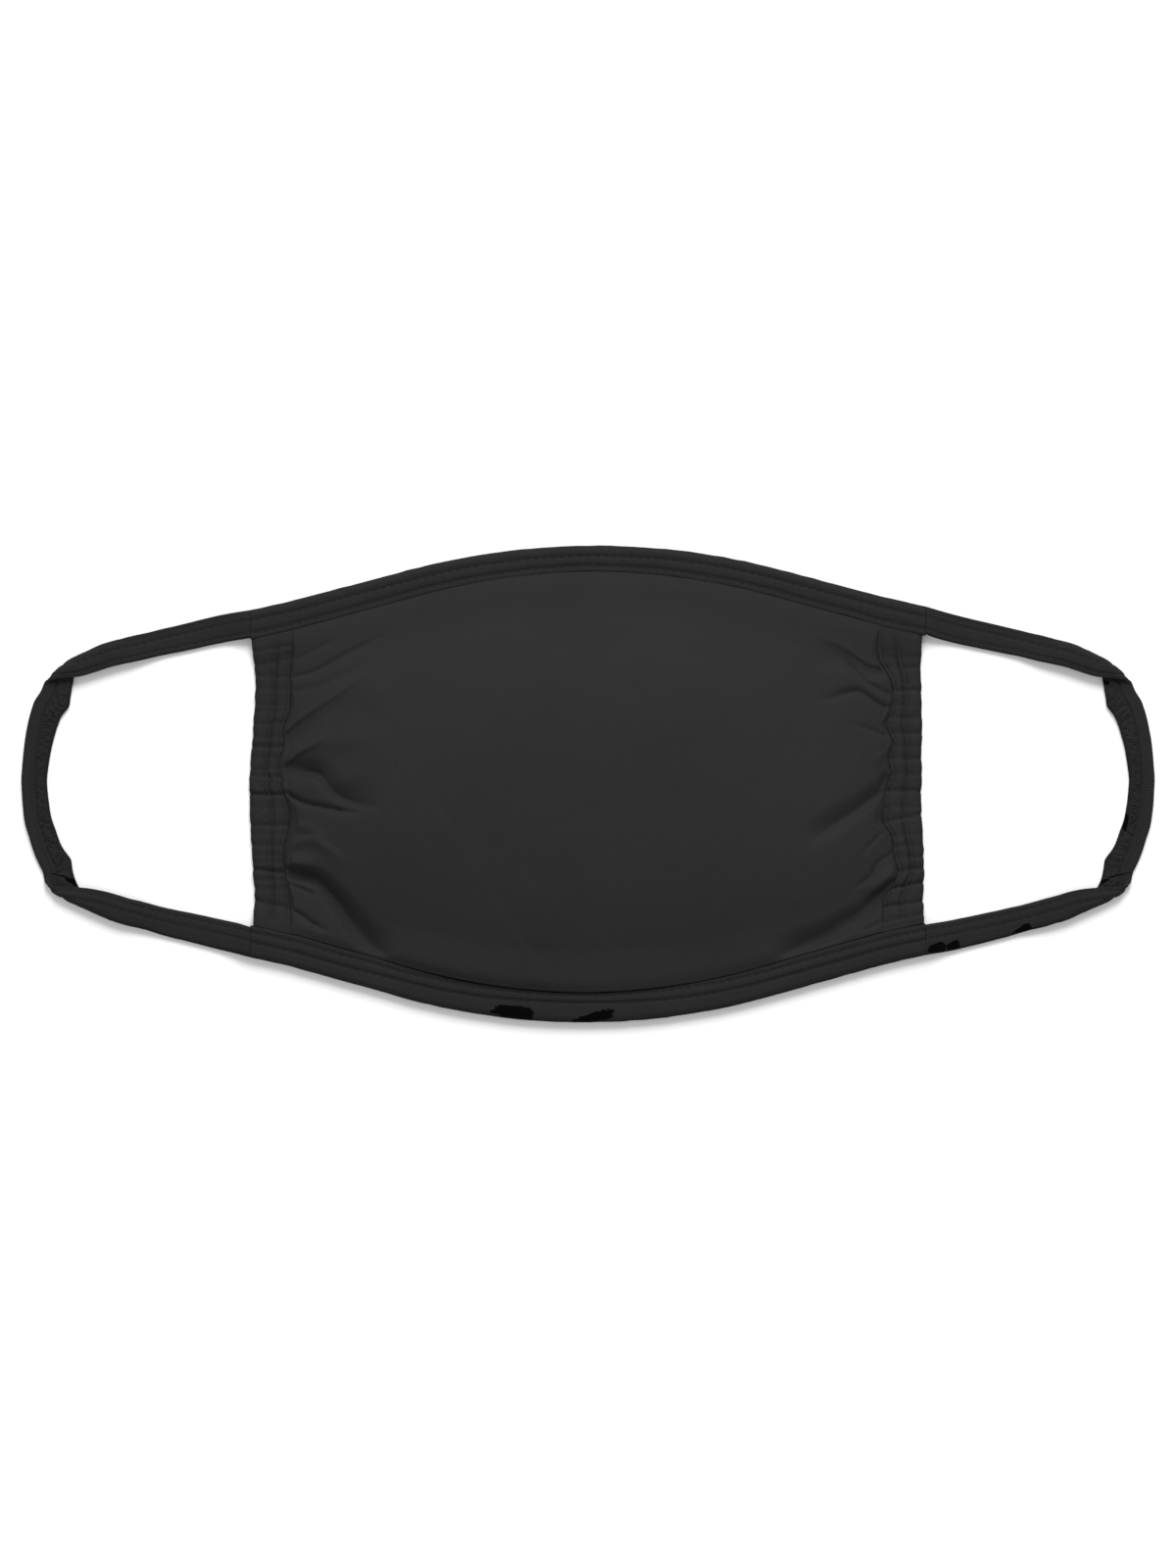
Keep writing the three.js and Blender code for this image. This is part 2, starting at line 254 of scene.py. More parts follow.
# columns of little knit loops: a height from 0 to 1 over the cloth's own two directions
def makeKnitGroup():
    group, given, made = newGroup(
        "knitLoops",
        [("Vector", "NodeSocketVector", None), ("Wale", "NodeSocketFloat", 0.9),
         ("Course", "NodeSocketFloat", 0.7), ("Waver", "NodeSocketFloat", 0.3)],
        [("Height", "NodeSocketFloat"), ("Fleck", "NodeSocketFloat")],
    )
    inMm = scaledToMm(group, given.outputs["Vector"])
    waver = group.nodes.new("ShaderNodeTexNoise")
    waver.inputs["Scale"].default_value = 0.35
    waver.inputs["Detail"].default_value = 3
    fleck = group.nodes.new("ShaderNodeTexNoise")
    fleck.inputs["Scale"].default_value = 1.7
    fleck.inputs["Detail"].default_value = 4
    split = group.nodes.new("ShaderNodeSeparateXYZ")
    linkNodes(group, (inMm, split.inputs[0]), (inMm, waver.inputs["Vector"]), (inMm, fleck.inputs["Vector"]))
    centred = calc(group, "SUBTRACT", waver.outputs["Fac"], 0.5)
    wander = calc(group, "MULTIPLY", centred, given.outputs["Waver"])
    wanderedX = calc(group, "ADD", split.outputs["X"], wander)
    wanderedY = calc(group, "ADD", split.outputs["Y"], wander)
    across = calc(group, "DIVIDE", wanderedX, given.outputs["Wale"])
    along = calc(group, "DIVIDE", wanderedY, given.outputs["Course"])
    wale = calc(group, "ABSOLUTE", calc(group, "SINE", calc(group, "MULTIPLY", across, math.pi)))
    leaned = calc(group, "ADD", along, calc(group, "MULTIPLY", wale, 0.35))
    course = calc(group, "SINE", calc(group, "MULTIPLY", leaned, 2 * math.pi))
    height = calc(group, "MULTIPLY", fleck.outputs["Fac"], 0.4)
    height = calc(group, "MULTIPLY_ADD", course, 0.18, height)
    height = calc(group, "MULTIPLY_ADD", wale, 0.6, height)
    linkNodes(group, (height, made.inputs["Height"]), (fleck.outputs["Fac"], made.inputs["Fleck"]))
    return group


# slanted bars with a ragged edge: x, y, half length, half width, turn in degrees, taper
blackPatchesAndShade = [
    # black patches on the lower strip and the right loop
    (-23.0, -70.8, 6.2, 1.9, -7, 0.05), (-28.2, -70.4, 2.2, 0.8, 8, 0.4),
    (1.2, -72.5, 6.3, 1.3, 12, 0.45), (5.6, -71.0, 2.6, 0.75, 14, -0.3),
    (108.2, -51.0, 2.9, 1.5, 10, 0.3), (113.5, -50.5, 2.0, 1.6, 10, 0.3),
    (134.9, -45.2, 2.9, 1.0, 24, 0.6), (167.1, -12.0, 0.7, 2.5, -8, 0.2),
    # painted shade in the gaps where each loop crosses itself
    (161.1, 31.5, 1.0, 0.6, -30, -0.3), (159.6, -30.5, 2.5, 0.55, 22, -0.2),
    (165.0, -28.3, 3.6, 0.2, 14, -0.3), (-160.0, -30.4, 2.6, 0.8, -25, 0.4),
    (-164.6, -28.3, 2.6, 0.22, -16, 0.3),
]


# mask of the black patches and of the painted shade where each loop crosses itself
def makeBlackPatchAndShadeGroup():
    group, given, made = newGroup(
        "blackPatchesAndPaintedShade", [("Vector", "NodeSocketVector", None)], [("Mask", "NodeSocketFloat")])
    inMm = scaledToMm(group, given.outputs["Vector"])
    ragged = group.nodes.new("ShaderNodeTexNoise")
    ragged.inputs["Scale"].default_value = 0.8
    ragged.inputs["Detail"].default_value = 2
    linkNodes(group, (inMm, ragged.inputs["Vector"]))
    wobble = calc(group, "MULTIPLY", calc(group, "SUBTRACT", ragged.outputs["Fac"], 0.5), 2.4)
    total = None
    for x, y, halfLength, halfWidth, turn, taper in blackPatchesAndShade:
        place = group.nodes.new("ShaderNodeMapping")
        place.vector_type = "TEXTURE"
        place.inputs["Location"].default_value = (x, y, 0)
        place.inputs["Rotation"].default_value = (0, 0, math.radians(turn))
        split = group.nodes.new("ShaderNodeSeparateXYZ")
        linkNodes(group, (inMm, place.inputs[0]), (place.outputs[0], split.inputs[0]))
        endness = calc(group, "DIVIDE", split.outputs["X"], halfLength)
        width = calc(group, "MULTIPLY_ADD", endness, taper * halfWidth, halfWidth)
        sideness = calc(group, "DIVIDE", split.outputs["Y"], width)
        span = calc(group, "ADD", calc(group, "POWER", calc(group, "ABSOLUTE", endness), 5),
                        calc(group, "POWER", calc(group, "ABSOLUTE", sideness), 3))
        outside = calc(group, "ADD", calc(group, "SUBTRACT", span, 1), wobble)
        inside = group.nodes.new("ShaderNodeMapRange")
        inside.inputs["From Min"].default_value = 0.2
        inside.inputs["From Max"].default_value = -0.15
        linkNodes(group, (outside, inside.inputs["Value"]))
        total = calc(group, "MAXIMUM", total, inside.outputs[0]) if total else inside.outputs[0]
    # nothing shows on the underside
    depth = group.nodes.new("ShaderNodeSeparateXYZ")
    fromFloor = group.nodes.new("ShaderNodeMapRange")
    fromFloor.inputs["From Min"].default_value = 0.9
    fromFloor.inputs["From Max"].default_value = 1.3
    linkNodes(group, (inMm, depth.inputs[0]), (depth.outputs["Z"], fromFloor.inputs["Value"]))
    total = calc(group, "MULTIPLY", total, fromFloor.outputs[0])
    linkNodes(group, (total, made.inputs["Mask"]))
    return group


def placeGroup(tree, group, **values):
    node = tree.nodes.new("ShaderNodeGroup")
    node.node_tree = group
    for label, value in values.items():
        node.inputs[label].default_value = value
    return node


# cloth: dark dyed knit with its loops and faint blotches, painted shade along a strip's folded edge where it
# has one, and black patches plus painted shade at the loop crossings where it has any
def makeCloth(name, spec):
    material = bpy.data.materials.new(name)
    material.use_nodes = True
    tree = material.node_tree
    surface = tree.nodes["Principled BSDF"]
    surface.inputs["Metallic"].default_value = 0
    surface.inputs["Specular IOR Level"].default_value = spec["gloss"]
    where = tree.nodes.new("ShaderNodeTexCoord")
    if spec["alongStrip"]:
        layout = tree.nodes.new("ShaderNodeUVMap")
        layout.uv_map = "cloth"
        clothVector = layout.outputs["UV"]
    else:
        clothVector = where.outputs["Object"]
    knit = placeGroup(tree, knitGroup, Wale=spec["wale"], Course=spec["course"], Waver=spec["waver"])
    broad = tree.nodes.new("ShaderNodeTexNoise")
    broad.inputs["Scale"].default_value = spec["blotchScale"]
    broad.inputs["Detail"].default_value = 2
    linkNodes(tree, (clothVector, knit.inputs["Vector"]), (where.outputs["Object"], broad.inputs["Vector"]))
    tone = calc(tree, "ADD", calc(tree, "MULTIPLY", knit.outputs["Fleck"], 0.6),
                    calc(tree, "MULTIPLY", broad.outputs["Fac"], 0.4))
    colours = tree.nodes.new("ShaderNodeValToRGB")
    colours.color_ramp.elements[0].position = 0.3
    colours.color_ramp.elements[1].position = 0.7
    colours.color_ramp.elements[0].color = (*[c * 0.9 for c in spec["colour"]], 1)
    colours.color_ramp.elements[1].color = (*[c * 1.1 for c in spec["colour"]], 1)
    linkNodes(tree, (tone, colours.inputs["Fac"]))
    colour = colours.outputs["Color"]
    # painted shade: the colour darkens over the last 1.6 mm toward the strip's fold, standing in for shade on
    # the rolled edge
    if spec["edgeShade"]:
        across = tree.nodes.new("ShaderNodeSeparateXYZ")
        shade = tree.nodes.new("ShaderNodeMapRange")
        shade.inputs["From Max"].default_value = 0.0016
        shade.inputs["To Min"].default_value = 1 - spec["edgeShade"]
        darker = tree.nodes.new("ShaderNodeVectorMath")
        darker.operation = "SCALE"
        linkNodes(tree, (clothVector, across.inputs[0]), (colour, darker.inputs[0]),
                  (calc(tree, "ABSOLUTE", across.outputs["Y"]), shade.inputs["Value"]),
                  (shade.outputs[0], darker.inputs["Scale"]))
        colour = darker.outputs[0]
    # black patches, and painted shade at the loop crossings
    if spec["patchedAndShaded"]:
        patchAndShade = placeGroup(tree, blackPatchAndShadeGroup)
        blacken = tree.nodes.new("ShaderNodeMix")
        blacken.data_type = "RGBA"
        blacken.inputs[7].default_value = (0.0008, 0.0008, 0.0008, 1)
        linkNodes(tree, (where.outputs["Object"], patchAndShade.inputs["Vector"]),
                  (patchAndShade.outputs["Mask"], blacken.inputs[0]), (colour, blacken.inputs[6]))
        colour = blacken.outputs[2]
    rough = calc(tree, "MULTIPLY_ADD", knit.outputs["Fleck"], 0.12, 0.86)
    bump = tree.nodes.new("ShaderNodeBump")
    bump.inputs["Strength"].default_value = spec["bump"]
    bump.inputs["Distance"].default_value = 0.0003
    linkNodes(tree, (colour, surface.inputs["Base Color"]), (rough, surface.inputs["Roughness"]),
              (knit.outputs["Height"], bump.inputs["Height"]),
              (bump.outputs["Normal"], surface.inputs["Normal"]))
    return material


knitGroup = makeKnitGroup()
blackPatchAndShadeGroup = makeBlackPatchAndShadeGroup()
panelKnit = makeCloth("panelKnit", {
    "colour": (0.0198, 0.0198, 0.0198), "gloss": 0.05, "blotchScale": 22, "bump": 0.25,
    "wale": 0.75, "course": 0.55, "waver": 0.35, "alongStrip": False, "edgeShade": 0, "patchedAndShaded": False})
hemKnit = makeCloth("hemKnit", {
    "colour": (0.0188, 0.0188, 0.0188), "gloss": 0.05, "blotchScale": 30, "bump": 0.3,
    "wale": 0.75, "course": 0.55, "waver": 0.35, "alongStrip": False, "edgeShade": 0, "patchedAndShaded": False})
bindingRib = makeCloth("bindingRib", {
    "colour": (0.0172, 0.0172, 0.0172), "gloss": 0.05, "blotchScale": 40, "bump": 0.6,
    "wale": 0.85, "course": 0.8, "waver": 0.5, "alongStrip": True, "edgeShade": 0.4, "patchedAndShaded": True})
sewingThread = makeCloth("sewingThread", {
    "colour": (0.0165, 0.0165, 0.0165), "gloss": 0.12, "blotchScale": 60, "bump": 0.4,
    "wale": 0.3, "course": 0.3, "waver": 0.1, "alongStrip": False, "edgeShade": 0, "patchedAndShaded": True})
print("materials made")


# ---- stitches

# thread laid on a surface: each path is a list of points with the surface's normals
def threadMesh(name, paths, radius, material, sides=6):
    points, faces = [], []
    turn = np.linspace(0, 2 * math.pi, sides, endpoint=False)
    for line, normals in paths:
        tangent = np.gradient(line, axis=0)
        tangent /= np.linalg.norm(tangent, axis=1)[:, None] + 1e-9
        aside = np.cross(tangent, normals)
        aside /= np.linalg.norm(aside, axis=1)[:, None] + 1e-9
        up = np.cross(aside, tangent)
        share = np.linspace(-1, 1, len(line))
        thick = radius * np.sqrt(np.clip(1.02 - share**8, 0.05, 1))
        ring = (line[:, None] + aside[:, None] * (np.cos(turn) * thick[:, None])[..., None]
                + up[:, None] * (np.sin(turn) * thick[:, None] * 0.8)[..., None])
        first, rows = sum(len(p) for p in points), len(line)
        points.append(ring.reshape(-1, 3))
        for i in range(rows - 1):
            for j in range(sides):
                a, b = first + i * sides + j, first + i * sides + (j + 1) % sides
                faces.append([a, b, b + sides, a + sides])
        faces.append([first + j for j in range(sides)][::-1])
        faces.append([first + (rows - 1) * sides + j for j in range(sides)])
    return meshObject(name, np.concatenate(points), faces, None, material)


# even run of single stitches along a line on a surface
def stitchRun(line, normals, pitch, length, sink, rise):
    steps = np.linalg.norm(np.diff(line, axis=0), axis=1)
    along = np.concatenate([[0], np.cumsum(steps)])
    paths = []
    for start in np.arange(pitch * 0.5, along[-1] - length, pitch):
        at = start + length * np.linspace(0, 1, 5) + rng.uniform(-0.08, 0.08)
        spot = np.stack([np.interp(at, along, line[:, k]) for k in range(3)], 1)
        facing = np.stack([np.interp(at, along, normals[:, k]) for k in range(3)], 1)
        lift = mix(-sink, rise, np.sin(np.linspace(0, math.pi, 5)))
        paths.append((spot + facing * lift[:, None], facing))
    return paths


# ---- folded strips: the bindings and the ear loops

# point of a strip folded lengthwise round a roll: offset is the distance from the fold line
# across the strip, and out is how far the point stands off the strip's middle
def foldedStrip(offset, nearest, roll, out):
    quarter = roll * math.pi / 2
    angle = np.clip(offset / roll, -math.pi / 2, math.pi / 2)

    def reach(place):
        turn = np.clip(place / roll, -math.pi / 2, math.pi / 2)
        return roll - roll * np.cos(turn) + np.maximum(0, np.abs(place) - quarter)

    inward = reach(offset) - reach(nearest) - np.cos(angle) * out
    height = -roll * np.sin(angle) - np.sin(angle) * out
    return inward, height


# how far a seam sinks a strip's face, at a distance from the seam
def seamGroove(distance, width, depth):
    return depth * np.exp(-((distance / width) ** 2))


# closed section of a strip: each point's share across it, its side from -1 to 1, and how far it
# bulges past the edge
def stripSection(count, edgePoints=3):
    across = np.linspace(0, 1, count)
    turn = np.linspace(math.pi / 2, -math.pi / 2, edgePoints + 2)[1:-1]
    up, beyond = np.sin(turn), np.cos(turn)
    shares = np.concatenate([across, np.ones(edgePoints), across[::-1], np.zeros(edgePoints)])
    sides = np.concatenate([np.ones(count), up, -np.ones(count), -up])
    bulge = np.concatenate([np.zeros(count), beyond, np.zeros(count), -beyond])
    return shares, sides, bulge


bindingSpec = {
    "cloth": 0.9, "rows": 440, "across": 54, "squareEnd": 10,
    "grooveWidth": 0.45, "puff": 0.3, "beadPitch": 2.7, "stitchLength": 1.9, "thread": 0.19,
}
# place along X, then how far the outer stitch row lies from the mask's edge
noseRow = [(-104.8, 3.3), (-50, 3.4), (0, 3.4), (50, 3.3), (104.8, 3.3)]
chinRow = [(-104.8, 4.9), (-76, 4.6), (-61, 5.0), (-36, 5.5), (-11, 6.2), (8, 6.0), (32, 5.4),
           (60, 4.9), (104.8, 4.9)]
# place along X, then how far the inner stitch row lies from the flap's raw edge
noseInset = [(-104.8, 1.5), (104.8, 1.5)]
chinInset = [(-104.8, 1.6), (-60, 1.3), (-40, 0.7), (0, 0.4), (36, 0.7), (60, 1.4), (104.8, 1.6)]


def makeBinding(name, edge, outerRows, insets, seed):
    spec = bindingSpec
    t = spec["cloth"]
    roll = (body["bindingHeight"] - t) / 2
    quarter = roll * math.pi / 2
    x = np.linspace(-body["halfWidth"], body["halfWidth"], spec["rows"])[:, None]
    shares, sides, bulge = stripSection(spec["across"])
    square = ease(body["halfWidth"] - spec["squareEnd"], body["halfWidth"], np.abs(x))  # end cut square
    lean = edgeLean(edge, x) * (1 - square)
    width = flapWidth(edge, x) + 0.12 * lineNoise(x, 6, seed)
    half = width - roll + quarter - t / 2
    offset = half * (2 * shares - 1)[None] + bulge[None] * t * 0.5
    inwardFlat = np.abs(offset) - quarter + roll + t / 2
    outerRow = readTable(outerRows, 1, x)
    innerRow = width - readTable(insets, 1, x)
    bead = 0.5 + 0.5 * np.cos(2 * math.pi * x / spec["beadPitch"] + 1.5 * lineNoise(x, 9, seed + 1))
    deep = edge["grooveDepth"] * (0.75 + 0.5 * bead)
    dip = (seamGroove(inwardFlat - outerRow, spec["grooveWidth"], deep)
           + seamGroove(inwardFlat - innerRow, spec["grooveWidth"], deep))
    between = np.clip((inwardFlat - outerRow) / (innerRow - outerRow), 0, 1)
    puffed = spec["puff"] * np.sin(math.pi * between) * (0.75 + 0.35 * (1 - bead))
    puffed += 0.15 * np.sin(math.pi * np.clip(inwardFlat / outerRow, 0, 1))
    puffed += 0.06 * softNoise(x, inwardFlat, 1.6, seed + 2)
    flatPart = ease(roll * 0.4, roll, inwardFlat)
    face = (puffed - dip) * flatPart * (sides > 0.99)
    out = sides[None] * t / 2 + face * np.where(offset > 0, 0.35, 1.0)
    inward, height = foldedStrip(offset, 0, roll, out)
    inward = inward + t / 2 + 0.08 * lineNoise(x, 3.5, seed + 3) * (1 - flatPart)
    z = np.maximum(body["bindingHeight"] / 2 + height, 0.02)
    px = x - np.sin(lean) * inward
    py = edge["side"] * (edgeY(edge, x) - np.cos(lean) * inward)
    rings = np.stack([px + 0 * z, py + 0 * z, z], -1)
    uv = np.stack([x + 0 * z, offset + 0 * z], -1)
    obj = sweptRings(name, rings, uv, bindingRib)
    rowsOn = {}
    for label, row in (("outer", outerRow), ("inner", innerRow)):
        for faceName, sign in (("front", -1), ("back", 1)):
            place = sign * (row - roll - t / 2 + quarter)
            rowsOn[label, faceName] = lineOnSection(rings, offset[:, :spec["across"]], place)
    return obj, rowsOn


# line along a strip's outer face where the offset has a wanted value, with its normals
def lineOnSection(rings, offsets, wanted):
    count = offsets.shape[1]
    face = rings[:, :count]
    spots, normals = [], []
    wanted = np.broadcast_to(np.asarray(wanted, float).reshape(-1), (len(rings),))
    for row in range(len(rings)):
        at = np.interp(wanted[row], offsets[row], np.arange(count))
        i = int(np.clip(math.floor(at), 0, count - 2))
        spots.append(mix(face[row, i], face[row, i + 1], at - i))
        ahead = face[min(row + 1, len(rings) - 1), i] - face[max(row - 1, 0), i]
        n = np.cross(ahead, face[row, i + 1] - face[row, i])
        normals.append(n / (np.linalg.norm(n) + 1e-9))
    normals = np.array(normals)
    return np.array(spots), normals


def facedUp(line, normals, upward):
    sign = 1 if (normals[:, 2].mean() > 0) == upward else -1
    return line, normals * sign


# zigzag of looper thread between two rows
def zigzag(rowA, rowB, pitch, lift):
    (lineA, normalsA), (lineB, normalsB) = rowA, rowB
    along = np.concatenate([[0], np.cumsum(np.linalg.norm(np.diff(lineA, axis=0), axis=1))])
    at = np.arange(pitch, along[-1] - pitch, pitch / 6)
    phase = np.abs((at / pitch) % 2 - 1)
    swing = phase * phase * (3 - 2 * phase)

    def pick(line):
        return np.stack([np.interp(at, along, line[:, k]) for k in range(3)], 1)

    line = mix(pick(lineA), pick(lineB), swing[:, None])
    facing = pick(normalsA)
    return [(line + facing * lift, facing)]


def makeSewnBinding(name, edge, outerRows, insets, seed):
    spec = bindingSpec
    obj, rowsOn = makeBinding(name, edge, outerRows, insets, seed)
    threads = []
    for label in ("outer", "inner"):
        row = facedUp(*rowsOn[label, "front"], True)
        threads += stitchRun(*row, spec["beadPitch"], spec["stitchLength"], 0.1, 0.1)
    backOuter = facedUp(*rowsOn["outer", "back"], False)
    backInner = facedUp(*rowsOn["inner", "back"], False)
    for line, _ in (backOuter, backInner):
        line[:, 2] = np.maximum(line[:, 2], 0.16)  # the thread stays above the floor
    threads += zigzag(backOuter, backInner, 1.35, 0.0)
    sewn = threadMesh(name + "Stitching", threads, spec["thread"], sewingThread)
    return obj, sewn


bindings = {
    "topBinding": makeSewnBinding("topBinding", noseEdge, noseRow, noseInset, 11),
    "bottomBinding": makeSewnBinding("bottomBinding", chinEdge, chinRow, chinInset, 21),
}
print("bindings made")


# ear loop, from the nose corner to the chin corner: x and y on its outer edge, aim across
# the strap in degrees from straight inward, width, share on the front, lift
strapRows = [
    (104.83, 54.5, 90, 8.8, 1.2, 0), (114.5, 52.5, 77, 8.6, 1.2, 0), (129.8, 48.8, 76, 8.2, 1.2, 0),
    (137.4, 46.9, 74, 7.9, 1.15, 0.3), (145.0, 44.5, 71, 7.9, 1.0, 0.8), (152.7, 41.7, 65, 8.5, 0.84, 1),
    (160.2, 38.0, 57, 9.4, 0.64, 1), (163.9, 35.4, 49, 10.0, 0.38, 1), (167.9, 31.8, 41, 10.2, 0.05, 1),
    (170.1, 29.0, 34, 10.0, -0.1, 1), (172.5, 24.8, 26, 9.6, -0.1, 1), (174.3, 18.8, 16, 9.1, -0.2, 1),
    (175.6, 10.0, 8, 8.4, -0.2, 1), (176.2, 0.5, 0, 8.0, -0.2, 1), (175.4, -10.5, -9, 8.4, -0.2, 1),
    (173.7, -16.9, -16, 8.6, -0.2, 1), (171.8, -22.6, -23, 8.8, -0.15, 1), (169.5, -27.4, -31, 9.5, -0.1, 1),
    (167.0, -32.0, -41, 10.8, 0.13, 1), (162.1, -35.2, -50, 10.4, 0.45, 1), (156.3, -37.8, -59, 9.4, 0.7, 1),
    (150.6, -40.5, -66, 8.8, 0.88, 1), (144.0, -43.2, -71, 8.3, 1.02, 0.8),
    (137.4, -45.4, -73, 8.2, 1.15, 0.3), (129.8, -47.7, -75, 8.7, 1.2, 0), (114.5, -51.5, -77, 9.3, 1.2, 0),
    (104.83, -53.6, -90, 9.5, 1.2, 0),
]
# innerRow and outerRow are distances from the stitched edge, the second at shares along the loop
loopSpec = {
    "cloth": 1.8, "roll": 1.05, "rows": 420, "across": 40, "endTaper": 0.05, "innerRow": 1.6,
    "outerRow": [(0, 5.5), (0.2, 4.8), (0.5, 4.3), (0.8, 4.2), (1, 4.4)],
    "grooveWidth": 0.45, "grooveDepth": 0.32, "reverseSeam": 3.9, "thread": 0.19,
}


def makeEarLoop(name, side, seed):
    spec = loopSpec
    t, roll = spec["cloth"], spec["roll"]
    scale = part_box("ear_loop_right")[1].x / mm / 176.24
    rows = np.array(strapRows, float)
    meets = side * body["halfWidth"]
    rows[0, [1, 3]] = edgeY(noseEdge, meets), noseEdge["flapAtCorner"]
    rows[-1, [1, 3]] = -edgeY(chinEdge, meets), chinEdge["flapAtCorner"]
    keys = np.arange(len(rows))
    share = np.linspace(0, 1, spec["rows"])
    at = share * (len(rows) - 1)
    columns = [readTable(list(zip(keys, rows[:, k])), 1, at)[:, None] for k in range(6)]
    x, y, aim, width, fold, lift = columns
    x = x * scale
    fold, lift = np.clip(fold, -0.2, 1.2), np.clip(lift, 0, 1)
    shares, sides, bulge = stripSection(spec["across"])
    first = -fold * width
    last = first + width
    nearest = np.clip(0, first, last)
    split = np.clip(0, first + 0.15 * width, last - 0.15 * width)
    s = shares[None]
    rim = 0.35 * t  # half-round edges, inside the strap's width
    offset = np.where(s < 0.5, mix(first + rim, split, 2 * s), mix(split, last - rim, 2 * s - 1))
    offset = offset + bulge[None] * rim
    across = offset - first  # distance from the stitched edge
    travel = np.concatenate([[0], np.cumsum(np.hypot(np.diff(x[:, 0]), np.diff(y[:, 0])))])[:, None]
    outerRow = readTable(spec["outerRow"], 1, share)[:, None]
    beadTurn = 2 * math.pi * travel / bindingSpec["beadPitch"] + 1.5 * lineNoise(travel, 9, seed)
    bead = 0.5 + 0.5 * np.cos(beadTurn)
    deep = spec["grooveDepth"] * (0.7 + 0.6 * bead)
    faceDip = (seamGroove(across - spec["innerRow"], spec["grooveWidth"], deep)
               + seamGroove(across - outerRow, spec["grooveWidth"], deep))
    faceDip -= 0.2 * np.sin(math.pi * np.clip(across / width, 0, 1))
    faceDip -= 0.05 * softNoise(travel, across, 1.7, seed + 1)
    reverse = (seamGroove(across - spec["reverseSeam"] - 0.35, 0.3, 0.6)
               - seamGroove(across - spec["reverseSeam"] + 0.35, 0.4, 0.4))
    loose = ease(spec["reverseSeam"] + 0.3, spec["reverseSeam"] + 0.9, across)
    loose = loose * (1 - ease(width - 1.2, width - 0.4, across))
    reverse -= loose * 0.3 * softNoise(travel, across, 0.8, seed + 2)
    reverse -= 0.05 * softNoise(travel, across, 1.7, seed + 3)
    onFront, onBack = sides > 0.99, sides < -0.99
    edgeRound = t * 0.28 * (1 - ease(0, 1.0, across)) + t * 0.2 * (1 - ease(0, 0.9, width - across))
    edgeRound = edgeRound + (sides > 0) * t * 0.3 * (1 - ease(0, 2.6, across)) * (1 - ease(0.8, 1.0, fold))
    out = sides[None] * (t / 2 - edgeRound * (onFront | onBack))
    out = out - np.where(onFront, faceDip, 0) + np.where(onBack, reverse, 0)
    inward, height = foldedStrip(offset, nearest, roll, out)
    inward = inward + 0.06 * lineNoise(travel, 4, seed + 4)
    endShare = 1 - ease(0, spec["endTaper"], np.minimum(share, 1 - share))[:, None]
    halfHigh = body["bindingHeight"] / 2
    beyondRoll = halfHigh - np.clip(width - across, 0, halfHigh)
    endHeight = halfHigh + sides[None] * np.sqrt(halfHigh**2 - beyondRoll**2) - np.where(onFront, faceDip, 0)
    turn = np.radians(aim)
    z = np.maximum(mix(t / 2 + roll * (2 * lift - 1) + height, endHeight, endShare), 0.02)
    rings = np.stack([side * (x - np.cos(turn) * inward), y - np.sin(turn) * inward, z], -1)
    uv = np.stack([travel + 0 * z, across - width + 0 * z], -1)
    obj = sweptRings(name, rings, uv, bindingRib)
    count = spec["across"]
    lines = {label: lineOnSection(rings, across[:, :count], row)
             for label, row in (("inner", spec["innerRow"]), ("outer", outerRow))}
    back = rings[:, count + 3: 2 * count + 3][:, ::-1]
    reverseAcross = across[:, count + 3: 2 * count + 3][:, ::-1]
    reverseLines = {label: lineOnSection(back, reverseAcross, row)
                    for label, row in (("low", spec["reverseSeam"] + 0.9), ("high", width[:, 0] - 1.3))}
    threads = []
    frontEnd = int(np.argmax(fold[:, 0] < 0.62))
    backStart = int(len(fold) - np.argmax(fold[::-1, 0] < 0.62))
    for label in ("inner", "outer"):
        line, normals = lines[label]
        for part in (slice(4, frontEnd), slice(backStart, len(fold) - 4)):
            row = facedUp(line[part], normals[part], True)
            threads += stitchRun(*row, bindingSpec["beadPitch"], bindingSpec["stitchLength"], 0.12, 0.08)
    lowSpan = slice(int(np.argmax(fold[:, 0] < 0.15)), int(len(fold) - np.argmax(fold[::-1, 0] < 0.15)))
    low = facedUp(*(a[lowSpan] for a in reverseLines["low"]), True)
    high = facedUp(*(a[lowSpan] for a in reverseLines["high"]), True)
    threads += zigzag(low, high, 1.15, 0.1)
    sewn = threadMesh(name + "Stitching", threads, spec["thread"], sewingThread)
    return obj, sewn


loops = {
    "earLoopLeft": makeEarLoop("earLoopLeft", -1, 31),
    "earLoopRight": makeEarLoop("earLoopRight", 1, 41),
}
print("ear loops made")


# ---- side hems

